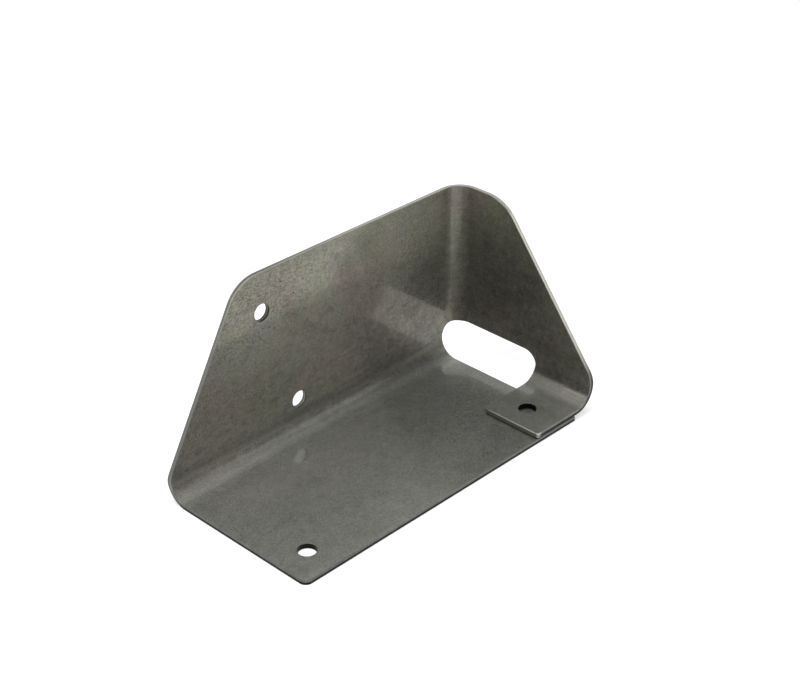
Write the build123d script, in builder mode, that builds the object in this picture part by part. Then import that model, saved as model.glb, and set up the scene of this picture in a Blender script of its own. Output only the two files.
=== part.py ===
"""Stamped corner bracket: one sheet of steel, blanked and pressed into a floor, two walls and a tab.

The floor lies on the ground. Its back edge folds up into the back wall, the back wall's right end
folds forward into the side wall, and the side wall's foot folds inward into a tab that laps over
the floor's front right corner. A relief cut opens the corner where the three folds would meet.

Frame: millimetres, +Z up, +X to the right along the back wall, +Y from the open front to the back
wall. The origin is the middle of the footprint, on the ground.
"""
import os

from build123d import *

# ---- overall sizes, over the outside of the sheet ----
length = 156.0            # left edge of the floor to the side wall's outer face
depth = 73.5              # front edge of the floor to the back wall's outer face
height = 77.0             # ground to the top edges of both walls
thickness = 2.0           # sheet

# ---- folds ----
bend_radius = 7.5         # inside radius of all three folds

# ---- floor ----
floor_inset = 10.5        # side wall's outer face to the floor's right edge
floor_corner = 3.0        # radius of the floor's front left corner

# ---- back wall ----
wall_slope = 37.0         # how far the left edge leans in over the wall's height
wall_top_corner = 15.0    # radius of its top left corner
wall_knee_radius = 10.0   # rounding where the left edge starts to lean

# ---- side wall ----
side_top = 25.5           # back wall's outer face to the end of the side wall's top edge
side_top_corner = 18.0    # radius of its top front corner
side_knee = 15.5          # height at which the front edge starts to slant
side_knee_radius = 9.0    # rounding where the slant starts

# ---- tab lapped over the floor ----
tab_reach = 33.5          # side wall's outer face to the tab's free edge
tab_width = 28.0          # from the tab's front edge to its rear edge
tab_gap = 0.4             # air between the floor and the tab
tab_rear_corner = 2.5     # radius of the tab's free rear corner
tab_front_corner = 1.0    # radius of the tab's free front corner

# ---- relief cut at the corner ----
relief_height = 15.5      # ground to the top of the cut
relief_radius = 6.0       # rounding of the cut's two upper corners

# ---- holes ----
hole_diameter = 7.0
upper_hole_inset = 108.5  # side wall's outer face to the upper hole of the back wall
upper_hole_height = 60.5
lower_hole_inset = 91.5   # side wall's outer face to the lower hole of the back wall
lower_hole_height = 15.5
floor_hole_side = 13.0    # left edge of the floor to the floor's hole
floor_hole_front = 13.0   # front edge of the floor to the floor's hole
tab_hole_reach = 22.0     # side wall's outer face to the tab's hole
tab_hole_front = 15.0     # front edge of the tab to the tab's hole

# ---- sheared edges ----
edge_break = 0.2          # rounding that deburring leaves along both rims of every cut

# ---- places that follow from the sizes ----
outer_radius = bend_radius + thickness
left, right = -length / 2, length / 2
front, back = -depth / 2, depth / 2
floor_right = right - floor_inset
tab_rear = front + tab_width
tab_under = thickness + tab_gap
tab_fold_top = tab_under + outer_radius
wall_end = right - outer_radius          # where the back wall turns into the corner fold
side_end = back - outer_radius           # where the side wall turns into the corner fold
hole_radius = hole_diameter / 2

wall_plane = Plane(origin=(0, back - thickness, 0), x_dir=(1, 0, 0), z_dir=(0, -1, 0))
side_plane = Plane(origin=(right, 0, 0), x_dir=(0, 1, 0), z_dir=(1, 0, 0))
tab_plane = Plane.XY.offset(tab_under)

# section of every fold: a quarter ring about the fold's centre line
with BuildSketch() as fold_section:
    Circle(outer_radius)
    Circle(bend_radius, mode=Mode.SUBTRACT)
    Rectangle(outer_radius, outer_radius, align=(Align.MIN, Align.MIN), mode=Mode.INTERSECT)

with BuildPart() as bracket:
    # floor plate, back to the line where the base fold starts
    with BuildSketch(Plane.XY):
        with BuildLine():
            Polyline((left, side_end), (left, front), (floor_right, front), (floor_right, side_end), close=True)
        make_face()
        front_left = vertices().group_by(Axis.Y)[0].sort_by(Axis.X)[0]
        fillet(front_left, floor_corner)
    extrude(amount=thickness)

    # base fold, along the whole back of the floor
    with BuildSketch(Plane.YZ.offset(left)):
        with Locations((side_end, outer_radius)):
            add(fold_section.sketch, rotation=-90)
    extrude(amount=length - floor_inset)

    # back wall, up from the base fold
    with BuildSketch(wall_plane):
        with BuildLine():
            Polyline((left, outer_radius), (left, height), (wall_end, height), (wall_end, outer_radius), close=True)
        make_face()
    extrude(amount=-thickness)

    # slanted left edge, cut through the back wall and the end of the base fold
    with BuildSketch(wall_plane.offset(outer_radius - thickness)):
        with BuildLine():
            Polyline((left, 0), (left, outer_radius), (left + wall_slope, height), (wall_end, height),
                     (wall_end, height + thickness), (left - thickness, height + thickness),
                     (left - thickness, 0), close=True)
        make_face()
        knee = vertices().group_by(Axis.Y)[1]
        fillet(knee, wall_knee_radius)
        top_left = vertices().group_by(Axis.Y)[-2].sort_by(Axis.X)[0]
        fillet(top_left, wall_top_corner)
    extrude(amount=-outer_radius, mode=Mode.SUBTRACT)

    # corner fold, from the back wall to the side wall
    with BuildSketch(Plane.XY.offset(outer_radius)):
        with Locations((wall_end, side_end)):
            add(fold_section.sketch)
    extrude(amount=height - outer_radius)

    # side wall, down to the line where the tab's fold starts
    with BuildSketch(side_plane):
        with BuildLine():
            Polyline((side_end, tab_fold_top), (side_end, height), (back - side_top, height),
                     (front, side_knee), (front, tab_fold_top), close=True)
        make_face()
        knee = vertices().group_by(Axis.Y)[1]
        fillet(knee, side_knee_radius)
        top_front = vertices().group_by(Axis.Y)[-1].sort_by(Axis.X)[0]
        fillet(top_front, side_top_corner)
    extrude(amount=-thickness)

    # fold at the side wall's foot, left long at its rear end for the relief cut to round
    with BuildSketch(Plane.XZ.offset(-front)):
        with Locations((wall_end, tab_fold_top)):
            add(fold_section.sketch, rotation=-90)
    extrude(amount=-(tab_width + relief_radius))

    # tab, free of the floor by the gap
    with BuildSketch(tab_plane):
        with BuildLine():
            Polyline((wall_end, front), (right - tab_reach, front), (right - tab_reach, tab_rear),
                     (wall_end, tab_rear), close=True)
        make_face()
        free_front, free_rear = vertices().group_by(Axis.X)[0].sort_by(Axis.Y)
        fillet(free_front, tab_front_corner)
        fillet(vertices().group_by(Axis.X)[0].sort_by(Axis.Y)[-1], tab_rear_corner)
    extrude(amount=thickness)

    # relief cut, its half through the back wall and the corner fold
    with BuildSketch(wall_plane.offset(bend_radius)):
        with BuildLine():
            Polyline((floor_right, 0), (floor_right, relief_height), (right, relief_height), (right, 0), close=True)
        make_face()
        fillet(vertices().group_by(Axis.Y)[-1].sort_by(Axis.X)[0], relief_radius)
    extrude(amount=-outer_radius, mode=Mode.SUBTRACT)

    # relief cut, its half through the side wall and the end of the tab's fold
    with BuildSketch(side_plane):
        with BuildLine():
            Polyline((side_end, tab_under), (side_end, relief_height), (tab_rear, relief_height),
                     (tab_rear, tab_under), close=True)
        make_face()
        fillet(vertices().group_by(Axis.Y)[-1].sort_by(Axis.X)[0], relief_radius)
    extrude(amount=-outer_radius, mode=Mode.SUBTRACT)

    # holes
    with BuildSketch(wall_plane):
        with Locations((right - upper_hole_inset, upper_hole_height), (right - lower_hole_inset, lower_hole_height)):
            Circle(hole_radius)
    extrude(amount=-thickness, mode=Mode.SUBTRACT)
    with BuildSketch(Plane.XY):
        with Locations((left + floor_hole_side, front + floor_hole_front)):
            Circle(hole_radius)
    extrude(amount=thickness, mode=Mode.SUBTRACT)
    with BuildSketch(tab_plane):
        with Locations((right - tab_hole_reach, front + tab_hole_front)):
            Circle(hole_radius)
    extrude(amount=thickness, mode=Mode.SUBTRACT)

    # deburred rims: a skin of the sheet is wide for its outline, and a cut face is a narrow strip
    skins = [face for face in faces() if face.area > thickness * face.outer_wire().length]
    rims = [edge for edge in edges() if sum(edge in skin.edges() for skin in skins) == 1]
    fillet(rims, edge_break)

bracket.part.label = "bracket"
os.makedirs("parts", exist_ok=True)
export_step(bracket.part, "parts/bracket.step")
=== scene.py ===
"""Looks of a stamped corner bracket: one folded sheet of bare rolled steel, in a plain pale studio."""
import logging
import math
from dataclasses import dataclass, field
from enum import Enum

import bmesh
import bpy
import numpy as np
from mathutils import Matrix, Vector
from mathutils.bvhtree import BVHTree


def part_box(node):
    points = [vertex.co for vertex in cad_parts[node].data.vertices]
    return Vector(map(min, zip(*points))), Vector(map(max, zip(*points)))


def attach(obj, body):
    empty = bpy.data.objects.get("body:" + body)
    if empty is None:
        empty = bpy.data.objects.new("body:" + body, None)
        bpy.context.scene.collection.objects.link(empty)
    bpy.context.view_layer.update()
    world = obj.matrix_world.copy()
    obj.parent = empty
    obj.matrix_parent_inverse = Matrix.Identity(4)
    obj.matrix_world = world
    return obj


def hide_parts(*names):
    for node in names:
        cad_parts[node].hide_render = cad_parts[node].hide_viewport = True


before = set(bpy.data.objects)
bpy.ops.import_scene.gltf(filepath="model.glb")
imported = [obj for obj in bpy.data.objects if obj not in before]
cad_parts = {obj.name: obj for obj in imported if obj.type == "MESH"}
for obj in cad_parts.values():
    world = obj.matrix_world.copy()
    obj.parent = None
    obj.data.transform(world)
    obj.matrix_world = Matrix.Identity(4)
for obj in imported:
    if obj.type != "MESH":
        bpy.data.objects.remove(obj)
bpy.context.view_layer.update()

log = logging.getLogger("bracket")

Colour = tuple[float, float, float]
Point = tuple[float, float, float]
Pair = tuple[float, float]
Ramp = tuple[float, float, float, float]  # where a clamped ramp starts and ends, and its values there
Socket = bpy.types.NodeSocket

WHITE: Colour = (1.0, 1.0, 1.0)


class Flank(Enum):
    """The flat and folded parts of the sheet, in the order in which the blank carries them."""

    FLOOR = "floor"
    BASE_FOLD = "base_fold"
    WALL = "wall"
    CORNER_FOLD = "corner_fold"
    SIDE = "side"
    TAB_FOLD = "tab_fold"
    TAB = "tab"


# ---------------------------------------------------------------- shader helpers


class NodeBench:
    """Lays nodes in one tree and joins them, so that a finish reads as a list of steps."""

    columns = 12
    spacing = (220, -260)
    mix_inputs = (0, 6, 7)
    mix_output = 2
    middle = 0.5

    def __init__(self, tree: bpy.types.NodeTree) -> None:
        """Starts on the tree of a material, a world or a group."""
        self.tree = tree
        self.count = 0

    def add(self, kind: str, settings: dict[str, object] | None = None,
            **inputs: object) -> bpy.types.Node:
        """Adds one node.

        Args:
            kind: Blender's type name of the node.
            settings: properties of the node itself.
            **inputs: socket values or sockets to link, with _ for a space and i0, i1 for an index.

        Returns:
            The new node.
        """
        node = self.tree.nodes.new(kind)
        row, column = divmod(self.count, self.columns)
        node.location = (self.spacing[0] * column, self.spacing[1] * row)
        self.count += 1
        for name, value in (settings or {}).items():
            setattr(node, name, value)
        for name, value in inputs.items():
            by_index = name[0] == "i" and name[1:].isdigit()
            self.feed(node.inputs[int(name[1:]) if by_index else name.replace("_", " ")], value)
        return node

    def feed(self, socket: Socket, value: object) -> None:
        """Fills one input.

        Args:
            socket: the input.
            value: a socket to link to it, or a number, vector or colour to set.
        """
        if isinstance(value, Socket):
            self.tree.links.new(value, socket)
        elif isinstance(value, tuple) and len(value) == 3 and socket.type == "RGBA":
            socket.default_value = (*value, 1.0)
        else:
            socket.default_value = value

    def maths(self, operation: str, *values: object) -> Socket:
        """Adds a Math node.

        Args:
            operation: Blender's name of the operation.
            *values: the sockets or numbers that it works on.

        Returns:
            The result.
        """
        node = self.add("ShaderNodeMath", {"operation": operation})
        for socket, value in zip(node.inputs, values):
            self.feed(socket, value)
        return node.outputs[0]

    def chain(self, operation: str, first: object, *others: object) -> Socket:
        """Works through several values from left to right, with one operation.

        Args:
            operation: Blender's name of the operation.
            first: the value to start from.
            *others: the values that follow.

        Returns:
            The last result.
        """
        for other in others:
            first = self.maths(operation, first, other)
        return first

    def plus(self, *terms: object) -> Socket:
        """Adds the terms up."""
        return self.chain("ADD", *terms)

    def minus(self, first: object, second: object) -> Socket:
        """Takes the second value from the first."""
        return self.maths("SUBTRACT", first, second)

    def times(self, *factors: object) -> Socket:
        """Multiplies the factors."""
        return self.chain("MULTIPLY", *factors)

    def most(self, *values: object) -> Socket:
        """Takes the largest of the values."""
        return self.chain("MAXIMUM", *values)

    def swing(self, spread: object, pattern: object) -> Socket:
        """Scales how far a pattern of 0 to 1 swings about its middle."""
        return self.times(spread, self.minus(pattern, self.middle))

    def remap(self, value: object, low: float, high: float, to_low: float, to_high: float) -> Socket:
        """Adds a clamped Map Range node.

        Args:
            value: the value to bring from one range to another.
            low: the start of its range.
            high: the end of its range.
            to_low: the result at low.
            to_high: the result at high.

        Returns:
            The result.
        """
        node = self.add("ShaderNodeMapRange")
        for socket, item in zip(node.inputs, (value, low, high, to_low, to_high)):
            self.feed(socket, item)
        return node.outputs[0]

    def blend(self, factor: object, first: object, second: object, kind: str = "MIX") -> Socket:
        """Adds a colour Mix node.

        Args:
            factor: the second colour's share.
            first: the first colour.
            second: the second colour.
            kind: Blender's name of the way to mix.

        Returns:
            The mixed colour.
        """
        node = self.add("ShaderNodeMix", {"data_type": "RGBA", "blend_type": kind})
        for index, value in zip(self.mix_inputs, (factor, first, second)):
            self.feed(node.inputs[index], value)
        return node.outputs[self.mix_output]

    def toned(self, colour: object, tone: Socket) -> Socket:
        """Makes a colour darker or lighter.

        Args:
            colour: the colour.
            tone: what its three channels are multiplied by.

        Returns:
            The new colour.
        """
        grey = self.add("ShaderNodeCombineColor", i0=tone, i1=tone, i2=tone).outputs[0]
        return self.blend(1.0, colour, grey, "MULTIPLY")

    def noise(self, place: Socket, scale: object, grit: Pair, swirl: float = 0.0) -> Socket:
        """Adds a noise texture.

        Args:
            place: the coordinates that it reads.
            scale: how many of its largest features lie on a metre.
            grit: its detail and its roughness.
            swirl: its distortion.

        Returns:
            The noise, about 0.5.
        """
        node = self.add("ShaderNodeTexNoise", Vector=place, Scale=scale, Detail=grit[0],
                        Roughness=grit[1], Distortion=swirl)
        return node.outputs[0]

    def effect(self, tree: bpy.types.NodeTree, **inputs: object) -> bpy.types.NodeOutputs:
        """Places a shared effect with this finish's own values."""
        return self.add("ShaderNodeGroup", {"node_tree": tree}, **inputs).outputs

    def attribute(self, name: str) -> Socket:
        """Reads a number that the mesh carries."""
        return self.add("ShaderNodeAttribute", {"attribute_name": name}).outputs["Fac"]

    def metal(self, colour: Socket, roughness: Socket, height: Socket) -> None:
        """Ends a finish in its one shader, a bare metal.

        Args:
            colour: the metal's colour.
            roughness: its roughness.
            height: its relief, in metres.
        """
        relief = self.add("ShaderNodeBump", Strength=1.0, Distance=1.0, Height=height)
        steel = self.add("ShaderNodeBsdfPrincipled", Base_Color=colour, Metallic=1.0,
                         Roughness=roughness, Normal=relief.outputs[0])
        self.add("ShaderNodeOutputMaterial", Surface=steel.outputs[0])


def cleared(owner: bpy.types.Material | bpy.types.World) -> NodeBench:
    """Empties a material's or world's tree.

    Args:
        owner: the material or the world.

    Returns:
        A bench on the empty tree.
    """
    owner.use_nodes = True
    owner.node_tree.nodes.clear()
    return NodeBench(owner.node_tree)


# ---------------------------------------------------------------- shared effects


class EffectGroup:
    """A shader node group with named sockets, made once and placed in each finish."""

    def __init__(self, name: str, inputs: dict[str, object], outputs: tuple[str, ...]) -> None:
        """Opens the group's tree.

        Args:
            name: the group's name.
            inputs: each input's name with its usual value, a number or a vector's tuple.
            outputs: the names of the values that it puts out.
        """
        self.tree = bpy.data.node_groups.new(name, "ShaderNodeTree")
        for label, usual in inputs.items():
            kind = "NodeSocketVector" if isinstance(usual, tuple) else "NodeSocketFloat"
            socket = self.tree.interface.new_socket(label, in_out="INPUT", socket_type=kind)
            socket.default_value = usual
        for label in outputs:
            self.tree.interface.new_socket(label, in_out="OUTPUT", socket_type="NodeSocketFloat")
        self.bench = NodeBench(self.tree)
        self.given = self.bench.add("NodeGroupInput").outputs
        self.result = self.bench.add("NodeGroupOutput").inputs


@dataclass
class SteelEffects:
    """The effects that the skin and the cut edges share: grain, clouds and specks."""

    origin: Point = (0.0, 0.0, 0.0)
    streak_grit: Pair = (3.0, 0.62)
    mottle_grit: Pair = (1.6, 0.55)
    cloud_grit: Pair = (3.5, 0.5)
    cloud_swirl: float = 0.7
    cloud_contrast: Ramp = (0.3, 0.7, 0.0, 1.0)
    speck_chance: Ramp = (0.55, 1.0, 0.0, 1.0)
    speck_border: Ramp = (0.6, 1.1, 1.0, 0.0)
    least_speck: float = 1e-6
    grain: bpy.types.NodeTree = field(init=False)
    clouds: bpy.types.NodeTree = field(init=False)
    specks: bpy.types.NodeTree = field(init=False)

    def __post_init__(self) -> None:
        """Builds each group once."""
        self.grain = self._grain()
        self.clouds = self._clouds()
        self.specks = self._specks()

    def _grain(self) -> bpy.types.NodeTree:
        """Builds the grain: streaks of a length, width and depth, and a mottle between them.

        Returns:
            The group's tree.
        """
        made = EffectGroup("steel_grain", {"Place": self.origin, "Length": 0.03, "Width": 0.0004,
                                           "Depth": 0.002, "Mottle": 0.001}, ("Streak", "Mottle"))
        bench, given = made.bench, made.given
        stretch = bench.add("ShaderNodeCombineXYZ", X=given["Length"], Y=given["Width"],
                            Z=given["Depth"])
        along = bench.add("ShaderNodeVectorMath", {"operation": "DIVIDE"}, i0=given["Place"],
                          i1=stretch.outputs[0]).outputs[0]
        bench.feed(made.result["Streak"], bench.noise(along, 1.0, self.streak_grit))
        fine = bench.maths("DIVIDE", 1.0, given["Mottle"])
        bench.feed(made.result["Mottle"], bench.noise(given["Place"], fine, self.mottle_grit))
        return made.tree

    def _clouds(self) -> bpy.types.NodeTree:
        """Builds the clouds: soft blotches of one size, such as dried oil leaves.

        Returns:
            The group's tree.
        """
        made = EffectGroup("oil_clouds", {"Place": self.origin, "Size": 0.01}, ("Cloud",))
        bench, given = made.bench, made.given
        coarse = bench.maths("DIVIDE", 1.0, given["Size"])
        soft = bench.noise(given["Place"], coarse, self.cloud_grit, self.cloud_swirl)
        bench.feed(made.result["Cloud"], bench.remap(soft, *self.cloud_contrast))
        return made.tree

    def _specks(self) -> bpy.types.NodeTree:
        """Builds the specks: a few small round pits, one at most in each cell of the spacing.

        Returns:
            The group's tree.
        """
        made = EffectGroup("pit_specks", {"Place": self.origin, "Spacing": 0.01, "Size": 0.0005},
                           ("Speck",))
        bench, given = made.bench, made.given
        cells = bench.add("ShaderNodeTexVoronoi", Vector=given["Place"],
                          Scale=bench.maths("DIVIDE", 1.0, given["Spacing"])).outputs
        chance = bench.add("ShaderNodeSeparateColor", i0=cells["Color"]).outputs[0]
        away = bench.times(cells["Distance"], given["Spacing"])
        radius = bench.times(given["Size"], bench.remap(chance, *self.speck_chance))
        near = bench.maths("DIVIDE", away, bench.plus(radius, self.least_speck))
        bench.feed(made.result["Speck"], bench.remap(near, *self.speck_border))
        return made.tree


# ---------------------------------------------------------------- finishes


@dataclass(frozen=True)
class SheetPlace:
    """Where a point lies in the sheet, as if it were still flat: along it, up it and in its depth."""

    bench: NodeBench
    u: Socket
    v: Socket
    depth: Socket
    point: Socket

    @classmethod
    def read(cls, bench: NodeBench, thickness: float) -> "SheetPlace":
        """Reads the place from the "blank" map and the "depth" attribute.

        Args:
            bench: the material's nodes.
            thickness: the sheet's thickness, in metres.

        Returns:
            The place in metres, with the depth as a share of the thickness, and the three as a vector.
        """
        flat = bench.add("ShaderNodeUVMap", {"uv_map": "blank"}).outputs[0]
        split = bench.add("ShaderNodeSeparateXYZ", i0=flat).outputs
        depth = bench.attribute("depth")
        deep = bench.times(depth, thickness)
        point = bench.add("ShaderNodeCombineXYZ", X=split[0], Y=split[1], Z=deep).outputs[0]
        return cls(bench, split[0], split[1], depth, point)


@dataclass(frozen=True)
class Streaks:
    """One layer of grain, in metres: its streaks' length, width and depth, and its mottle's size."""

    length: float
    width: float
    depth: float
    mottle: float

    def lay(self, sheet: SheetPlace, effects: SteelEffects) -> tuple[Socket, Socket]:
        """Lays the grain on the sheet.

        Args:
            sheet: the place in the sheet.
            effects: the shared node groups.

        Returns:
            The streaks and the mottle, each about 0.5.
        """
        laid = sheet.bench.effect(effects.grain, Place=sheet.point, Length=self.length,
                                  Width=self.width, Depth=self.depth, Mottle=self.mottle)
        return laid["Streak"], laid["Mottle"]


@dataclass(frozen=True)
class Pits:
    """One layer of specks: how far apart they lie and how large they are, in metres."""

    spacing: float
    size: float

    def lay(self, sheet: SheetPlace, effects: SteelEffects) -> Socket:
        """Lays the specks on the sheet.

        Args:
            sheet: the place in the sheet.
            effects: the shared node groups.

        Returns:
            1 in a speck and 0 outside it.
        """
        laid = sheet.bench.effect(effects.specks, Place=sheet.point, Spacing=self.spacing, Size=self.size)
        return laid[0]


@dataclass(frozen=True)
class FoldZone:
    """A band of the blank that a fold stretches: its middle, half its width, its span and its haze."""

    across_u: bool
    middle: float
    half: float
    span: Pair
    haze: float
    inner_border: float = 0.001
    outer_border: float = 0.0015

    def mask(self, sheet: SheetPlace) -> Socket:
        """Adds the band's mask.

        Args:
            sheet: the place in the sheet.

        Returns:
            1 inside the band and 0 outside it, with soft borders.
        """
        bench = sheet.bench
        place, run = (sheet.u, sheet.v) if self.across_u else (sheet.v, sheet.u)
        away = bench.maths("ABSOLUTE", bench.minus(place, self.middle))
        band = bench.remap(away, self.half - self.inner_border, self.half + self.outer_border, 1.0, 0.0)
        inside = bench.times(bench.maths("GREATER_THAN", run, self.span[0]),
                             bench.maths("LESS_THAN", run, self.span[1]))
        return bench.times(band, inside)


@dataclass(frozen=True)
class SoftPatch:
    """A soft patch of the blank, which carries stains, wear, and patches of painted light and shade: its
    middle, half sizes and lift in tone.
    """

    middle: Pair
    half: Pair
    lift: float
    ragged: float = 0.25
    fade: Pair = (0.3, 1.1)

    def tone(self, sheet: SheetPlace, cloud: Socket) -> Socket:
        """Adds the patch's change in tone.

        Args:
            sheet: the place in the sheet.
            cloud: a cloud that breaks the patch's border.

        Returns:
            The lift in the middle, fading to 0 at the border.
        """
        bench = sheet.bench
        aside = bench.maths("DIVIDE", bench.minus(sheet.u, self.middle[0]), self.half[0])
        up = bench.maths("DIVIDE", bench.minus(sheet.v, self.middle[1]), self.half[1])
        away = bench.maths("SQRT", bench.plus(bench.times(aside, aside), bench.times(up, up)))
        away = bench.plus(away, bench.remap(cloud, 0.0, 1.0, -self.ragged, self.ragged))
        fading = bench.add("ShaderNodeMapRange", {"interpolation_type": "SMOOTHSTEP"}, i0=away,
                           i1=self.fade[0], i2=self.fade[1], i3=self.lift, i4=0.0)
        return fading.outputs[0]


@dataclass(frozen=True)
class Strip:
    """A strip along the blank: where it begins and ends, its strength, and the share left above it."""

    rise: Pair
    fall: Pair
    strength: float = 1.0
    left: float = 0.0

    def mask(self, sheet: SheetPlace) -> Socket:
        """Adds the strip's mask.

        Args:
            sheet: the place in the sheet.

        Returns:
            The strength inside the strip, 0 below it, and the share that is left above it.
        """
        bench = sheet.bench
        return bench.times(bench.remap(sheet.v, *self.rise, 0.0, self.strength),
                           bench.remap(sheet.v, *self.fall, 1.0, self.left))


@dataclass(frozen=True)
class SkinLayers:
    """The patterns and masks that the skin's colour, gloss and relief share."""

    bench: NodeBench
    effects: SteelEffects
    place: Socket
    sheet: SheetPlace
    clouds: Socket
    stains: Socket
    blotches: Socket
    streaks: Socket
    mottle: Socket
    scuffs: Socket
    sand: Socket
    specks: Socket
    worn: Socket
    wall: Socket
    stretched: Socket
    gloss: Socket
    before_side: Socket
    over_press: Socket


@dataclass(frozen=True)
class RolledSteel:
    """Bare cold-rolled skin: plateaus polished by the rolls, duller pits, and a grain along the blank."""

    clean: Colour = (0.243, 0.248, 0.227)
    oiled: Colour = (0.250, 0.248, 0.190)
    stained: Colour = (0.258, 0.234, 0.205)
    speck: Colour = (0.060, 0.055, 0.050)
    rust: Colour = (0.115, 0.082, 0.056)

    grain: Streaks = Streaks(0.030, 0.00045, 0.0005, 0.0011)
    scuffs: Streaks = Streaks(0.0022, 0.00035, 0.0005, 0.0005)
    smears: Streaks = Streaks(0.007, 0.0016, 0.0005, 0.0024)
    pits: Pits = Pits(0.009, 0.00045)
    spots: Pits = Pits(0.022, 0.0012)
    cloud_size: float = 0.010
    stain_size: float = 0.034
    blotch_size: float = 0.0035

    # Where the oil and the stains lie, and how much of them, then the patches of painted light and shade
    # on the skin, and the worn patch.
    wall: Ramp = (-0.004, 0.022, 0.0, 1.0)
    oil: Ramp = (0.1, 0.9, 0.32, 0.85)
    floor_stain: float = 0.15
    stain: Ramp = (0.45, 0.8, 0.0, 0.9)
    blotch: Ramp = (0.45, 0.85, 0.0, 0.35)
    browned: tuple[SoftPatch, ...] = (
        SoftPatch((-0.058, 0.022), (0.030, 0.022), 0.65),
        SoftPatch((0.040, 0.024), (0.030, 0.020), 0.60),
        SoftPatch((0.115, 0.022), (0.024, 0.016), 0.60),
    )
    # Painted light and shade: lighter and darker patches where light falls on the skin, several of them
    # over the folds' highlights.
    painted_light_and_shade: tuple[SoftPatch, ...] = (
        SoftPatch((0.045, 0.068), (0.030, 0.024), 0.32),
        SoftPatch((-0.050, 0.012), (0.034, 0.018), 0.16),
        SoftPatch((-0.040, -0.012), (0.040, 0.012), 0.12),
        SoftPatch((0.035, -0.034), (0.030, 0.020), -0.10),
        SoftPatch((0.004, 0.067), (0.024, 0.016), 0.17),
        SoftPatch((0.066, 0.062), (0.012, 0.016), 0.12),
        SoftPatch((-0.037, 0.047), (0.024, 0.014), 0.13),
        SoftPatch((0.057, 0.040), (0.012, 0.014), -0.12),
        SoftPatch((0.103, 0.044), (0.022, 0.022), -0.17),
        SoftPatch((0.029, -0.062), (0.034, 0.012), -0.11),
        SoftPatch((-0.059, -0.018), (0.020, 0.012), 0.09),
        SoftPatch((0.020, 0.004), (0.034, 0.014), -0.06),
        SoftPatch((0.0755, 0.060), (0.008, 0.034), -0.11),
        SoftPatch((0.134, -0.003), (0.022, 0.007), 0.22),
        SoftPatch((0.132, 0.007), (0.026, 0.005), -0.22),
        SoftPatch((0.130, 0.019), (0.024, 0.006), -0.14),
    )
    worn: SoftPatch = SoftPatch((-0.035, 0.068), (0.060, 0.026), 1.0)

    # What each pattern does to the tone. A pair holds the plain part's value and the worn one's.
    cloud_tone: Pair = (0.93, 1.07)
    stain_tone: Pair = (-0.05, 0.05)
    streak_tone: Ramp = (0.25, 0.75, -0.11, 0.11)
    mottle_tone: Pair = (0.50, 1.05)
    blotch_tone: Pair = (0.14, 0.24)
    sand_tone: Pair = (0.10, 0.70)
    dash: Ramp = (0.58, 0.67, 0.0, 1.0)
    dash_tone: Pair = (0.04, 1.00)
    smear: Ramp = (1.00, 1.18, 0.0, 0.19)
    smeared: Strip = Strip((0.006, 0.010), (0.016, 0.040), left=0.25)
    spot_share: float = 0.8
    pit_share: float = 0.7

    # The folds: their painted shade and gloss, the base fold's foot with painted light and its ridge with
    # painted shade, and the tab fold's band of painted highlight.
    fold_painted_shade: float = 0.90
    fold_sand: float = 0.70
    fold_dulling: float = 0.12
    bend_foot_painted_light: Strip = Strip((-0.0080, -0.0042), (-0.0025, 0.0010), 0.27)
    bend_ridge_painted_shade: Strip = Strip((0.0005, 0.0030), (0.0050, 0.0066), 0.22)
    tab_fold_painted_highlight: Strip = Strip((0.0034, 0.0060), (0.0064, 0.0078), 0.95)

    # The press line below the base fold's upper end, with painted shade over it and rust along it.
    press_line: float = -0.0036
    press_wander: float = 0.0014
    press_painted_shade: Ramp = (0.0, 0.0012, 0.0, 0.13)
    shade_end: Ramp = (0.0095, 0.0130, 1.0, 0.0)
    rust_line: Ramp = (0.0003, 0.0020, 1.0, 0.0)
    rust_grit: Ramp = (0.46, 0.60, 0.0, 0.85)

    # Gloss: the roughness of plateaus and of pits, the pits' share of the skin, and how it changes.
    polished: float = 0.10
    dull: float = 0.70
    dull_share: float = 0.70
    cell: float = 0.00012
    cell_grit: Pair = (1.0, 0.5)
    cell_spread: float = 0.22
    cell_border: float = 0.04
    cloud_gloss: Pair = (0.06, -0.06)
    streak_gloss: Ramp = (0.25, 0.75, 0.08, -0.08)

    # Relief, in metres.
    wave: float = 0.014
    wave_grit: Pair = (1.0, 0.4)
    waviness: float = 0.000020
    streak_depth: float = 0.0000015
    pit_depth: float = 0.00002

    def material(self, effects: SteelEffects, folds: tuple[FoldZone, ...],
                 thickness: float) -> bpy.types.Material:
        """Builds the skin's material.

        Args:
            effects: the shared node groups.
            folds: the bands that the folds stretch, from the base fold on.
            thickness: the sheet's thickness, in metres.

        Returns:
            The material, which reads the "blank" map and the "depth" attribute.
        """
        made = bpy.data.materials.new("rolled_steel")
        bench = cleared(made)
        layers = self._layers(bench, effects, folds, thickness)
        tone = self._fold_tone(layers, self._pattern_tone(layers))
        colour = self._rusted(layers, bench.toned(self._steel_colour(layers), tone))
        bench.metal(colour, self._roughness(layers), self._height(layers))
        return made

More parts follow.
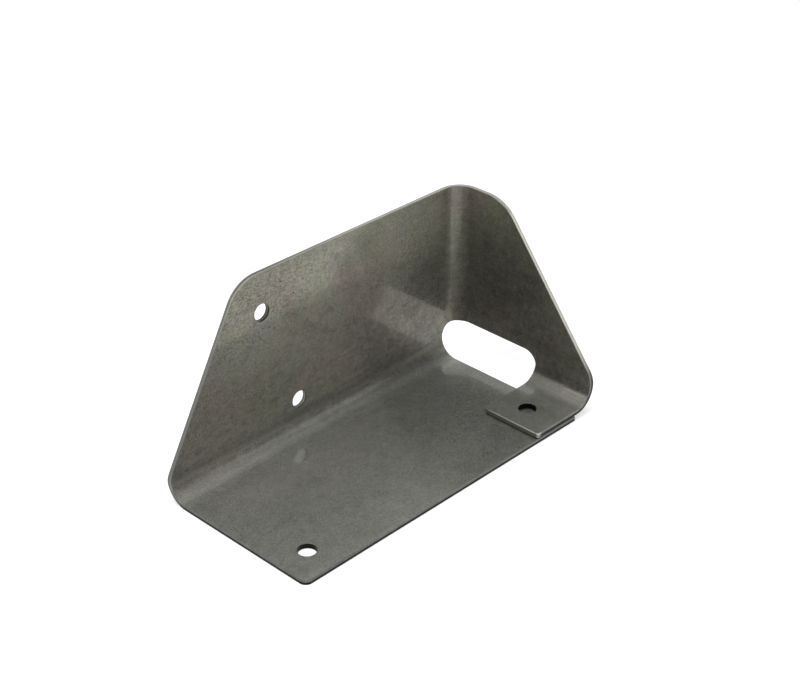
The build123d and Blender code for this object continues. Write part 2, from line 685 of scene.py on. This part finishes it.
    def _layers(self, bench: NodeBench, effects: SteelEffects, folds: tuple[FoldZone, ...],
                thickness: float) -> SkinLayers:
        """Lays the patterns and masks that the later steps share.

        Args:
            bench: the material's nodes.
            effects: the shared node groups.
            folds: the bands that the folds stretch, from the base fold on.
            thickness: the sheet's thickness, in metres.

        Returns:
            The layers.
        """
        place = bench.add("ShaderNodeTexCoord").outputs["Object"]
        sheet = SheetPlace.read(bench, thickness)
        clouds, stains, blotches = (bench.effect(effects.clouds, Place=place, Size=size)[0]
                                    for size in (self.cloud_size, self.stain_size, self.blotch_size))
        stretched, gloss = 0.0, self.polished
        for fold in folds:
            mask = fold.mask(sheet)
            stretched = bench.most(stretched, mask)
            gloss = bench.plus(gloss, bench.times(mask, fold.haze))
        base = folds[0]
        press = base.middle + base.half + self.press_line
        wander = bench.remap(blotches, 0.0, 1.0, press - self.press_wander, press + self.press_wander)
        streaks, mottle = self.grain.lay(sheet, effects)
        scuffs, sand = self.scuffs.lay(sheet, effects)
        return SkinLayers(
            bench, effects, place, sheet, clouds, stains, blotches, streaks, mottle, scuffs, sand,
            specks=self.pits.lay(sheet, effects), worn=self.worn.tone(sheet, clouds),
            wall=bench.remap(sheet.v, *self.wall), stretched=stretched, gloss=gloss,
            before_side=bench.maths("LESS_THAN", sheet.u, base.span[1]),
            over_press=bench.minus(sheet.v, wander))

    def _steel_colour(self, layers: SkinLayers) -> Socket:
        """Colours the steel: clean on the floor, oiled and browned on the walls.

        Args:
            layers: the shared patterns.

        Returns:
            The colour, before its tone.
        """
        bench = layers.bench
        oil = bench.times(layers.wall, bench.remap(layers.clouds, *self.oil))
        stain = bench.most(
            bench.times(bench.remap(layers.wall, 0.0, 1.0, self.floor_stain, 1.0),
                        bench.remap(layers.stains, *self.stain)),
            bench.times(layers.wall, bench.remap(layers.blotches, *self.blotch)),
            *(film.tone(layers.sheet, layers.stains) for film in self.browned))
        return bench.blend(stain, bench.blend(oil, self.clean, self.oiled), self.stained)

    def _pattern_tone(self, layers: SkinLayers) -> Socket:
        """Adds up what the painted light and shade, the grain and the wear do to the tone.

        Args:
            layers: the shared patterns.

        Returns:
            The tone, about 1.
        """
        bench, worn = layers.bench, layers.worn
        sand = bench.most(bench.remap(worn, 0.0, 1.0, *self.sand_tone),
                          bench.times(layers.stretched, self.fold_sand))
        tone = bench.plus(
            bench.remap(layers.clouds, 0.0, 1.0, *self.cloud_tone),
            bench.remap(layers.stains, 0.0, 1.0, *self.stain_tone),
            *(film.tone(layers.sheet, layers.clouds) for film in self.painted_light_and_shade),
            bench.remap(layers.streaks, *self.streak_tone),
            bench.swing(bench.remap(worn, 0.0, 1.0, *self.mottle_tone), layers.mottle),
            bench.swing(bench.remap(layers.wall, 0.0, 1.0, *self.blotch_tone), layers.blotches),
            bench.swing(sand, layers.sand))
        dashes = bench.times(bench.remap(layers.scuffs, *self.dash),
                             bench.remap(worn, 0.0, 1.0, *self.dash_tone))
        smears = bench.remap(bench.plus(*self.smears.lay(layers.sheet, layers.effects)), *self.smear)
        smears = bench.times(self.smeared.mask(layers.sheet), smears)
        return bench.minus(bench.minus(tone, dashes), smears)

    def _fold_tone(self, layers: SkinLayers, tone: Socket) -> Socket:
        """Paints light and shade over the folds, and painted shade above the press line.

        Args:
            layers: the shared patterns.
            tone: the tone of the flat skin.

        Returns:
            The whole tone.
        """
        bench, sheet, before = layers.bench, layers.sheet, layers.before_side
        # Painted light on the base fold's foot and painted shade on its ridge.
        base = bench.times(bench.minus(self.bend_foot_painted_light.mask(sheet), self.bend_ridge_painted_shade.mask(sheet)), before)
        # A painted highlight band on the tab fold, strongest on the inner skin.
        tab = bench.times(sheet.depth, bench.minus(1.0, before), self.tab_fold_painted_highlight.mask(sheet))
        # Painted shade on the base fold above the press line.
        shade = bench.times(bench.remap(layers.over_press, *self.press_painted_shade),
                            bench.remap(sheet.v, *self.shade_end), before)
        # The folds are darkened as painted shade.
        return bench.times(tone, bench.remap(layers.stretched, 0.0, 1.0, 1.0, self.fold_painted_shade),
                           bench.plus(1.0, base), bench.plus(1.0, tab), bench.minus(1.0, shade))

    def _rusted(self, layers: SkinLayers, colour: Socket) -> Socket:
        """Adds rust along the press line and in spots, and the dark pits.

        Args:
            layers: the shared patterns.
            colour: the toned steel.

        Returns:
            The whole colour.
        """
        bench = layers.bench
        along = bench.remap(bench.maths("ABSOLUTE", layers.over_press), *self.rust_line)
        along = bench.times(along, bench.remap(layers.sand, *self.rust_grit), layers.before_side)
        colour = bench.blend(along, colour, self.rust)
        spots = bench.times(self.spots.lay(layers.sheet, layers.effects), self.spot_share)
        colour = bench.blend(spots, colour, self.rust)
        return bench.blend(bench.times(layers.specks, self.pit_share), colour, self.speck)

    def _roughness(self, layers: SkinLayers) -> Socket:
        """Spreads dull cells between the polished plateaus.

        Args:
            layers: the shared patterns.

        Returns:
            The roughness.
        """
        bench = layers.bench
        share = bench.plus(self.dull_share, bench.remap(layers.clouds, 0.0, 1.0, *self.cloud_gloss),
                           bench.remap(layers.streaks, *self.streak_gloss),
                           bench.times(layers.stretched, self.fold_dulling))
        level = bench.plus(bench.middle, bench.swing(self.cell_spread, share))
        over = bench.minus(bench.noise(layers.place, 1.0 / self.cell, self.cell_grit), level)
        cells = bench.remap(over, -self.cell_border, self.cell_border, 1.0, 0.0)
        return bench.remap(bench.most(cells, layers.specks), 0.0, 1.0, layers.gloss, self.dull)

    def _height(self, layers: SkinLayers) -> Socket:
        """Adds up the relief: slow waves, the grain and the pits.

        Args:
            layers: the shared patterns.

        Returns:
            The height, in metres.
        """
        bench = layers.bench
        waves = bench.times(bench.noise(layers.place, 1.0 / self.wave, self.wave_grit), self.waviness)
        height = bench.plus(waves, bench.times(layers.streaks, self.streak_depth))
        return bench.minus(height, bench.times(layers.specks, self.pit_depth))


@dataclass(frozen=True)
class EdgeMasks:
    """Where on the cut edges each look lies, and how far across the sheet a point is."""

    bench: NodeBench
    sheet: SheetPlace
    streaks: Socket
    clouds: Socket
    # left, floor and low hold painted shade on the edges; tab_tip and high hold the painted highlights.
    left: Socket
    floor: Socket
    tab_tip: Socket
    low: Socket
    high: Socket
    bore: Socket
    across: Socket
    line: Socket
    torn: Socket
    rim: Socket


@dataclass(frozen=True)
class ShearedSteel:
    """Cut edge of the sheet: a smooth band from the punch, a dull torn one, and a line at each rim."""

    smooth: Colour = (0.26, 0.257, 0.232)
    torn: Colour = (0.21, 0.207, 0.187)
    # Painted shade on the floor's and the tab's edges, in the smooth and the torn band.
    painted_shade_smooth: Colour = (0.120, 0.121, 0.110)
    painted_shade_torn: Colour = (0.014, 0.014, 0.013)
    # The holes' walls: painted shade, near black.
    bore: Colour = (0.014, 0.014, 0.013)
    rim: Colour = (0.29, 0.286, 0.258)
    # Painted shade on the rims of the floor's and the tab's edges.
    painted_shade_rim: Colour = (0.21, 0.21, 0.195)
    # A painted highlight on the upper half of the tab's tip.
    tab_tip_painted_highlight: Colour = (0.92, 0.91, 0.86)
    # The crest's colour is a painted highlight on the right part's edges; the dark line after it is
    # painted shade along the crest's inner side, and also the plain edges' seam.
    crest: Colour = (0.42, 0.415, 0.365)
    crest_line: Colour = (0.130, 0.127, 0.108)
    # The left end's edges: painted shade.
    flank: Colour = (0.160, 0.160, 0.148)

    rim_roughness: float = 0.32
    smooth_roughness: float = 0.42
    torn_roughness: float = 0.62
    smooth_relief: float = 0.000008
    torn_relief: float = 0.000020

    grain: Streaks = Streaks(0.00035, 0.00035, 0.004, 0.0005)
    cloud_size: float = 0.004
    cloud_tone: Pair = (0.85, 1.15)
    streak_tone: Ramp = (0.25, 0.75, -0.15, 0.15)

    # Across the sheet: where the smooth band ends, where the rims begin, and how ragged both are.
    smooth_from: float = 0.55
    torn_border: float = 0.10
    torn_wander: Ramp = (0.3, 0.7, -0.08, 0.08)
    rim_from: Pair = (0.48, 0.54)
    rim_wander: Ramp = (0.3, 0.7, -0.02, 0.02)
    rim_share: float = 0.20
    # A narrower rim under the painted shade on the floor's and the tab's edges.
    painted_shade_rim_share: float = 0.11
    bore_rim: float = 0.0
    rim_wear: Ramp = (0.2, 0.8, 0.5, 0.0)
    upper_half: Ramp = (0.45, 0.55, 0.0, 1.0)
    seam: Ramp = (0.13, 0.23, 0.85, 0.0)
    crest_band: Ramp = (0.74, 0.90, 0.0, 1.0)

    # Along the blank: the left end with painted shade, the right part's crest with a painted highlight,
    # and painted shade on the floor's and the tab's edges.
    left_end: Ramp = (-0.056, -0.042, 1.0, 0.0)
    crest_begins: Ramp = (-0.030, 0.030, 0.0, 1.0)
    side_begins: Ramp = (0.079, 0.081, 0.0, 1.0)
    tab_tip: Ramp = (-0.0246, -0.0230, 1.0, 0.0)
    tab_painted_shade: Ramp = (0.014, 0.028, 1.0, 0.0)
    tip_painted_shade: float = 0.50
    floor_painted_shade: Ramp = (-0.004, 0.012, 1.0, 0.0)
    strength: float = 0.85

    def material(self, effects: SteelEffects, thickness: float) -> bpy.types.Material:
        """Builds the cut edge's material.

        Args:
            effects: the shared node groups.
            thickness: the sheet's thickness, in metres.

        Returns:
            The material, which reads the "blank" map and the "depth" and "bore" attributes.
        """
        made = bpy.data.materials.new("sheared_steel")
        bench = cleared(made)
        masks = self._masks(bench, effects, thickness)
        colour = self._cut_colour(masks)
        colour = bench.blend(masks.rim, colour, self._rim_colour(masks, colour))
        colour = self._lined(masks, colour)
        rough = bench.remap(masks.torn, 0.0, 1.0, self.smooth_roughness, self.torn_roughness)
        rough = bench.add("ShaderNodeMix", {"data_type": "FLOAT"}, i0=masks.rim, i2=rough,
                          i3=self.rim_roughness).outputs[0]
        relief = bench.remap(masks.torn, 0.0, 1.0, self.smooth_relief, self.torn_relief)
        bench.metal(colour, rough, bench.times(masks.streaks, relief))
        return made

    def _masks(self, bench: NodeBench, effects: SteelEffects, thickness: float) -> EdgeMasks:
        """Lays the patterns and masks that the later steps share.

        Args:
            bench: the material's nodes.
            effects: the shared node groups.
            thickness: the sheet's thickness, in metres.

        Returns:
            The masks.
        """
        sheet = SheetPlace.read(bench, thickness)
        streaks, _ = self.grain.lay(sheet, effects)
        clouds = bench.effect(effects.clouds, Place=sheet.point, Size=self.cloud_size)[0]
        bore = bench.attribute("bore")
        # The left end, whose edges get painted shade and lose their rims on the floor.
        left = bench.remap(sheet.u, *self.left_end)
        side = bench.remap(sheet.u, *self.side_begins)
        tip = bench.times(side, bench.remap(sheet.v, *self.tab_tip))
        # Painted shade on the tab's edges, less of it at the tip, and on the floor's edges.
        tab = bench.times(side, bench.remap(sheet.v, *self.tab_painted_shade),
                          bench.remap(tip, 0.0, 1.0, 1.0, self.tip_painted_shade))
        floor = bench.times(bench.remap(sheet.v, *self.floor_painted_shade), bench.minus(1.0, side))
        low = bench.most(floor, tab)
        high = bench.times(bench.remap(sheet.u, *self.crest_begins), bench.minus(1.0, low))
        across = bench.maths("ABSOLUTE", bench.minus(sheet.depth, bench.middle))
        across = bench.plus(across, bench.remap(streaks, *self.rim_wander))
        rim = bench.plus(across, bench.remap(low, 0.0, 1.0, self.rim_share, self.painted_shade_rim_share))
        rim = bench.times(bench.remap(rim, *self.rim_from, 0.0, 1.0),
                          bench.remap(bore, 0.0, 1.0, 1.0, self.bore_rim))
        line = bench.plus(sheet.depth, bench.remap(streaks, *self.torn_wander))
        torn = bench.remap(line, self.smooth_from - self.torn_border,
                           self.smooth_from + self.torn_border, 1.0, 0.0)
        return EdgeMasks(bench, sheet, streaks, clouds, left, floor, tip, low, high, bore, across, line,
                         torn, rim)

    def _cut_colour(self, masks: EdgeMasks) -> Socket:
        """Colours the smooth and the torn band, clean or under painted shade, and the bores, painted dark
        as shade.

        Args:
            masks: the shared masks.

        Returns:
            The colour between the rims.
        """
        bench = masks.bench
        smooth = bench.blend(masks.low, self.smooth, self.painted_shade_smooth)
        torn = bench.blend(masks.low, self.torn, self.painted_shade_torn)
        # The bores are painted dark as shade.
        colour = bench.blend(masks.bore, bench.blend(masks.torn, smooth, torn), self.bore)
        tone = bench.plus(bench.remap(masks.clouds, 0.0, 1.0, *self.cloud_tone),
                          bench.remap(masks.streaks, *self.streak_tone))
        return bench.toned(colour, tone)

    def _rim_colour(self, masks: EdgeMasks, cut: Socket) -> Socket:
        """Colours the rims: worn in places, hidden under painted shade at the floor's left end, with a
        painted highlight on the tab's tip.

        Args:
            masks: the shared masks.
            cut: the colour between the rims.

        Returns:
            The rims' colour.
        """
        bench = masks.bench
        rim = bench.blend(masks.low, self.rim, self.painted_shade_rim)
        rim = bench.blend(bench.times(masks.floor, masks.left), rim, cut)
        rim = bench.blend(bench.remap(masks.clouds, *self.rim_wear), rim, cut)
        # A painted highlight on the upper half of the tab's tip.
        tip = bench.times(masks.tab_tip, bench.remap(masks.sheet.depth, *self.upper_half))
        return bench.blend(tip, rim, self.tab_tip_painted_highlight)

    def _lined(self, masks: EdgeMasks, colour: Socket) -> Socket:
        """Adds painted shade on the left end's edges, the plain edges' dark seam, and a painted highlight
        on the right edges' crest with a line of painted shade along its inner side.

        Args:
            masks: the shared masks.
            colour: the cut's and the rims' colour.

        Returns:
            The whole colour.
        """
        bench = masks.bench
        left = bench.times(masks.left, bench.minus(1.0, masks.low), self.strength)
        colour = bench.blend(left, colour, self.flank)
        plain = bench.minus(1.0, bench.most(masks.low, masks.left, masks.high))
        seam = bench.times(bench.remap(masks.across, *self.seam), plain)
        colour = bench.blend(seam, colour, self.crest_line)
        # The crest's painted highlight, with painted shade along its inner side.
        crest = bench.blend(bench.remap(masks.line, *self.crest_band), self.crest, self.crest_line)
        return bench.blend(bench.times(masks.high, self.strength), colour, crest)


# ---------------------------------------------------------------- the sheet


@dataclass
class FoldedSheet:
    """The bracket itself: its shell, its rounded cut edges and its unrolled blank."""

    thickness: float = 0.002
    inside_radius: float = 0.0075
    tab_gap: float = 0.0004
    edge_round: float = 0.0002
    edge_rings: int = 3
    edge_angle: float = 40.0
    flat_weight: int = 80
    merge_within: float = 1e-6
    flat_within: float = 0.4
    bore_step: float = 0.001
    bore_reach: float = 0.0065
    cut_slope: float = 0.985
    base_haze: float = 0.16
    corner_haze: float = 0.08
    tab_haze: float = 0.10
    beyond: float = 1.0
    skin: RolledSteel = field(default_factory=RolledSteel)
    edge: ShearedSteel = field(default_factory=ShearedSteel)
    low: Vector = field(init=False)
    high: Vector = field(init=False)

    @property
    def outer(self) -> float:
        """The folds' outside radius."""
        return self.inside_radius + self.thickness

    @property
    def neutral(self) -> float:
        """The radius at which the folds neither stretch nor shrink."""
        return self.inside_radius + self.thickness / 2

    @property
    def quarter(self) -> float:
        """The length of blank in one fold."""
        return self.neutral * math.pi / 2

    @property
    def fold_x(self) -> float:
        """Where the corner's and the tab's folds begin, along x."""
        return self.high.x - self.outer

    @property
    def fold_y(self) -> float:
        """Where the base's and the corner's folds begin, along y."""
        return self.high.y - self.outer

    @property
    def tab_top(self) -> float:
        """Where the tab's fold ends, along z."""
        return self.thickness + self.tab_gap + self.outer

    def build(self) -> bpy.types.Object:
        """Builds and dresses the bracket.

        Returns:
            The piece, which stands for the CAD node.
        """
        self.low, self.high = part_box("bracket")
        shell = self._shell()
        mesh = self._soften(shell)
        self._unroll(mesh)
        piece = bpy.data.objects.new("bracket_sheet", mesh)
        bpy.context.scene.collection.objects.link(piece)
        self._dress(piece)
        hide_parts("bracket")
        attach(piece, "root")
        return piece

    def _shell(self) -> bpy.types.Mesh:
        """Copies the CAD node's shell, with its loose triangles joined into whole faces.

        Returns:
            The shell, cut where the folds begin and end.
        """
        solid = bmesh.new()
        solid.from_mesh(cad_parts["bracket"].data)
        bmesh.ops.remove_doubles(solid, verts=solid.verts, dist=self.merge_within)
        bmesh.ops.dissolve_limit(solid, angle_limit=math.radians(self.flat_within), verts=solid.verts,
                                 edges=solid.edges)
        for place, normal in (((self.fold_x, 0, 0), (1, 0, 0)), ((0, self.fold_y, 0), (0, 1, 0)),
                              ((0, 0, self.outer), (0, 0, 1)), ((0, 0, self.tab_top), (0, 0, 1))):
            bmesh.ops.bisect_plane(solid, geom=[*solid.verts, *solid.edges, *solid.faces],
                                   dist=self.merge_within, plane_co=place, plane_no=normal)
        solid.verts.index_update()
        mesh = bpy.data.meshes.new("bracket_shell")
        mesh.from_pydata([v.co[:] for v in solid.verts], [],
                         [[v.index for v in f.verts] for f in solid.faces])
        solid.free()
        mesh.update()
        return mesh

    def _soften(self, shell: bpy.types.Mesh) -> bpy.types.Mesh:
        """Rounds every cut edge and shades the folds smooth.

        Args:
            shell: the sharp shell.

        Returns:
            A plain mesh with its own normals.
        """
        shell.polygons.foreach_set("use_smooth", [True] * len(shell.polygons))
        carrier = bpy.data.objects.new("bracket_carrier", shell)
        bpy.context.scene.collection.objects.link(carrier)
        bevel = carrier.modifiers.new("deburred", "BEVEL")
        bevel.width = self.edge_round
        bevel.segments = self.edge_rings
        bevel.limit_method = "ANGLE"
        bevel.angle_limit = math.radians(self.edge_angle)
        normals = carrier.modifiers.new("flat_faces", "WEIGHTED_NORMAL")
        normals.keep_sharp = True
        normals.weight = self.flat_weight
        evaluated = carrier.evaluated_get(bpy.context.evaluated_depsgraph_get())
        mesh = bpy.data.meshes.new_from_object(evaluated)
        bpy.data.objects.remove(carrier)
        mesh.name = "bracket_sheet"
        return mesh

    def _flank(self, centre: Vector) -> Flank:
        """Names the part of the sheet that a face belongs to.

        Args:
            centre: the middle of the face.

        Returns:
            The part.
        """
        tab_under = self.thickness + self.tab_gap / 2
        if centre.x > self.fold_x and centre.y <= self.fold_y and centre.z > tab_under:
            return Flank.TAB_FOLD if centre.z < self.tab_top else Flank.SIDE
        if centre.y <= self.fold_y:
            return Flank.TAB if centre.z > tab_under else Flank.FLOOR
        if centre.z < self.outer:
            return Flank.BASE_FOLD
        return Flank.CORNER_FOLD if centre.x > self.fold_x else Flank.WALL

    def _lie(self, flank: Flank, p: Vector) -> tuple[float, float, float, Vector]:
        """Finds where a point of a flank lay before the sheet was folded.

        Args:
            flank: the part of the sheet that the point is on.
            p: the point.

        Returns:
            The place along the blank's length and height, the depth from the outer skin, and the inner
            skin's normal.
        """
        outer, neutral, quarter = self.outer, self.neutral, self.quarter
        fold_x, fold_y, tab_top = self.fold_x, self.fold_y, self.tab_top
        side_u = fold_x + quarter + fold_y - p.y
        if flank is Flank.FLOOR:
            return p.x, outer - quarter - fold_y + p.y, p.z, Vector((0, 0, 1))
        if flank is Flank.BASE_FOLD:
            y, z = p.y - fold_y, outer - p.z
            return (p.x, outer - neutral * math.atan2(z, y), outer - math.hypot(y, z),
                    Vector((0, -y, z)).normalized())
        if flank is Flank.WALL:
            return p.x, p.z, self.high.y - p.y, Vector((0, -1, 0))
        if flank is Flank.CORNER_FOLD:
            x, y = p.x - fold_x, p.y - fold_y
            return (fold_x + neutral * math.atan2(x, y), p.z, outer - math.hypot(x, y),
                    Vector((-x, -y, 0)).normalized())
        if flank is Flank.SIDE:
            return side_u, p.z, self.high.x - p.x, Vector((-1, 0, 0))
        if flank is Flank.TAB_FOLD:
            x, z = p.x - fold_x, tab_top - p.z
            return (side_u, tab_top - neutral * math.atan2(z, x), outer - math.hypot(x, z),
                    Vector((-x, 0, z)).normalized())
        under = self.thickness + self.tab_gap
        return side_u, tab_top - quarter - fold_x + p.x, p.z - under, Vector((0, 0, 1))

    def _unroll(self, mesh: bpy.types.Mesh) -> None:
        """Writes where each corner lies on the blank, how deep it is, and which faces are in a bore.

        Args:
            mesh: the softened shell, whose cut faces get the second material.
        """
        count = len(mesh.loops)
        blank, depth, bore = np.zeros((count, 2)), np.zeros(count), np.zeros(count)
        walls = BVHTree.FromPolygons([v.co for v in mesh.vertices],
                                     [tuple(f.vertices) for f in mesh.polygons])
        for face in mesh.polygons:
            flank = self._flank(face.center)
            across = 1.0
            for loop in face.loop_indices:
                u, v, into, inward = self._lie(flank, mesh.vertices[mesh.loops[loop].vertex_index].co)
                blank[loop] = (u, v)
                depth[loop] = into / self.thickness
                across = min(across, abs(inward.dot(face.normal)))
            if across >= self.cut_slope:
                continue
            face.material_index = 1
            _, _, into, inward = self._lie(flank, face.center)
            outward = (face.normal - inward * inward.dot(face.normal)).normalized()
            start = face.center + outward * self.bore_step - inward * (into - self.thickness / 2)
            reached = walls.ray_cast(start, outward)[3]
            corners = slice(face.loop_start, face.loop_start + face.loop_total)
            bore[corners] = reached is not None and reached < self.bore_reach
        mesh.uv_layers.new(name="blank")
        mesh.uv_layers["blank"].uv.foreach_set("vector", blank.ravel())
        for name, values in (("depth", depth), ("bore", bore)):
            mesh.attributes.new(name, "FLOAT", "CORNER")
            mesh.attributes[name].data.foreach_set("value", values)
        log.info("bracket: %d faces", len(mesh.polygons))

    def _dress(self, piece: bpy.types.Object) -> None:
        """Gives the piece its finishes.

        Args:
            piece: the bracket, whose first material is its skin and whose second is its cut edges.
        """
        half, side = self.quarter / 2, self.fold_x + self.quarter
        folds = (
            FoldZone(False, self.outer - half, half, (self.low.x - self.outer, side), self.base_haze),
            FoldZone(True, self.fold_x + half, half, (self.outer, self.high.z), self.corner_haze),
            FoldZone(False, self.tab_top - half, half, (side, self.beyond), self.tab_haze),
        )
        effects = SteelEffects()
        piece.data.materials.append(self.skin.material(effects, folds, self.thickness))
        piece.data.materials.append(self.edge.material(effects, self.thickness))


# ---------------------------------------------------------------- studio


@dataclass(frozen=True)
class Softbox:
    """A square area lamp, aimed at a point."""

    name: str
    place: Point
    size: float
    power: float
    aim: Point = (0.0, 0.0, 0.03)
    colour: Colour = WHITE

    def build(self) -> None:
        """Hangs the lamp."""
        lamp = bpy.data.lights.new(self.name, "AREA")
        lamp.shape = "SQUARE"
        lamp.size = self.size
        lamp.energy = self.power
        lamp.color = self.colour
        hung = bpy.data.objects.new(self.name, lamp)
        hung.location = self.place
        hung.rotation_mode = "QUATERNION"
        hung.rotation_quaternion = (Vector(self.aim) - Vector(self.place)).to_track_quat("-Z", "Y")
        hung.visible_camera = False
        bpy.context.scene.collection.objects.link(hung)


@dataclass(frozen=True)
class Flag:
    """A panel of one plain grey outside the picture, which only the metal's gloss sees."""

    name: str
    place: Point
    width: float
    height: float
    shade: float
    aim: Point = (0.0, 0.0, 0.03)

    def build(self) -> None:
        """Stands the panel up, facing the bracket."""
        across, up = self.width / 2, self.height / 2
        mesh = bpy.data.meshes.new(self.name)
        mesh.from_pydata([(-across, -up, 0), (across, -up, 0), (across, up, 0), (-across, up, 0)], [],
                         [(0, 1, 2, 3)])
        place = Vector(self.place)
        facing = (Vector(self.aim) - place).normalized().to_track_quat("Z", "Y")
        mesh.transform(facing.to_matrix().to_4x4())
        mesh.transform(Matrix.Translation(place))
        material = bpy.data.materials.new(self.name)
        bench = cleared(material)
        grey = bench.add("ShaderNodeEmission", Color=WHITE, Strength=self.shade)
        bench.add("ShaderNodeOutputMaterial", Surface=grey.outputs[0])
        mesh.materials.append(material)
        panel = bpy.data.objects.new(self.name, mesh)
        for ray in ("camera", "diffuse", "transmission", "shadow"):
            setattr(panel, f"visible_{ray}", False)
        bpy.context.scene.collection.objects.link(panel)


@dataclass(frozen=True)
class Studio:
    """Pale floor, white surroundings, soft lamps and flags."""

    softboxes: tuple[Softbox, ...] = (
        Softbox("overhead", (0.0, 0.0, 1.1), 0.45, 3.8, (0.0, 0.0, 0.0)),
        Softbox("over_left", (-0.45, 0.10, 1.0), 0.40, 3.3),
        Softbox("over_front", (-0.10, -0.50, 1.0), 0.40, 0.6),
        Softbox("right_front", (0.85, -0.60, 0.60), 0.50, 2.1),
        Softbox("back_left", (-0.87, 0.60, 0.55), 0.50, 2.6),
        Softbox("front_high", (0.20, -1.10, 0.55), 0.50, 1.5),
        Softbox("front_low", (0.0, -1.2, 0.16), 0.30, 1.3),
    )
    flags: tuple[Flag, ...] = (
        Flag("flag_left", (-1.5, 0.0, 0.85), 3.0, 1.6, 0.0),
        Flag("flag_front", (0.0, -1.5, 0.85), 3.0, 1.6, 0.17),
        Flag("flag_over_left", (-0.75, -0.2, 1.6), 1.2, 2.4, 0.0),
        Flag("flag_over_right", (0.75, -0.2, 1.6), 1.2, 2.4, 0.58),
    )
    floor_half: float = 3.0
    floor_drop: float = 0.0001
    floor_colour: Colour = (0.8, 0.8, 0.8)
    floor_glow: float = 0.42
    world_level: float = 0.4

    def build(self) -> None:
        """Builds the floor, the world, the lamps and the flags."""
        self._floor()
        self._world()
        for item in (*self.softboxes, *self.flags):
            item.build()
            log.info("studio: %s", item.name)

    @staticmethod
    def _background_rays(bench: NodeBench) -> Socket:
        """Tells the rays that see the background from the others.

        Args:
            bench: the floor's or the world's nodes.

        Returns:
            1 for camera, glossy and transmission rays, and 0 for the others.
        """
        path = bench.add("ShaderNodeLightPath").outputs
        return bench.most(path["Is Camera Ray"], path["Is Glossy Ray"], path["Is Transmission Ray"])

    def _floor(self) -> None:
        """Lays the floor that the bracket stands on."""
        mesh = bpy.data.meshes.new("floor")
        grid = bmesh.new()
        bmesh.ops.create_grid(grid, x_segments=1, y_segments=1, size=self.floor_half)
        bmesh.ops.translate(grid, vec=(0.0, 0.0, -self.floor_drop), verts=grid.verts)
        grid.to_mesh(mesh)
        grid.free()
        material = bpy.data.materials.new("studio_floor")
        bench = cleared(material)
        paper = bench.add("ShaderNodeBsdfDiffuse", Color=self.floor_colour)
        lift = bench.times(self._background_rays(bench), self.floor_glow)
        glow = bench.add("ShaderNodeEmission", Color=WHITE, Strength=lift)
        both = bench.add("ShaderNodeAddShader", i0=paper.outputs[0], i1=glow.outputs[0])
        bench.add("ShaderNodeOutputMaterial", Surface=both.outputs[0])
        mesh.materials.append(material)
        floor = bpy.data.objects.new("studio_floor", mesh)
        bpy.context.scene.collection.objects.link(floor)

    def _world(self) -> None:
        """Surrounds the studio with white, dimmed where it only lights the scene."""
        world = bpy.data.worlds.new("studio")
        bench = cleared(world)
        dim = bench.add("ShaderNodeBackground", Color=WHITE, Strength=self.world_level)
        white = bench.add("ShaderNodeBackground", Color=WHITE, Strength=1.0)
        mixed = bench.add("ShaderNodeMixShader", i0=self._background_rays(bench), i1=dim.outputs[0],
                          i2=white.outputs[0])
        bench.add("ShaderNodeOutputWorld", Surface=mixed.outputs[0])
        bpy.context.scene.world = world


@dataclass(frozen=True)
class Viewpoint:
    """The camera, on a long lens above the bracket's open front left."""

    place: Point = (-0.38532, -0.37908, 0.36522)
    azimuth: float = -45.93
    elevation: float = 30.40
    lens: float = 76.547
    sensor: float = 36.0
    clip: Pair = (0.05, 20.0)

    def build(self) -> None:
        """Sets up the camera."""
        data = bpy.data.cameras.new("viewpoint")
        data.sensor_width = self.sensor
        data.lens = self.lens
        data.clip_start, data.clip_end = self.clip
        camera = bpy.data.objects.new("viewpoint", data)
        camera.location = self.place
        camera.rotation_euler = (math.radians(90 - self.elevation), 0.0, math.radians(self.azimuth))
        bpy.context.scene.collection.objects.link(camera)
        bpy.context.scene.camera = camera


def main() -> None:
    """Builds the bracket and its studio."""
    logging.basicConfig(level=logging.INFO, format="%(name)s: %(message)s")
    bpy.context.scene.view_settings.view_transform = "Standard"
    piece = FoldedSheet().build()
    log.info("piece: %s", piece.name)
    Studio().build()
    Viewpoint().build()


if __name__ == "__main__":
    main()
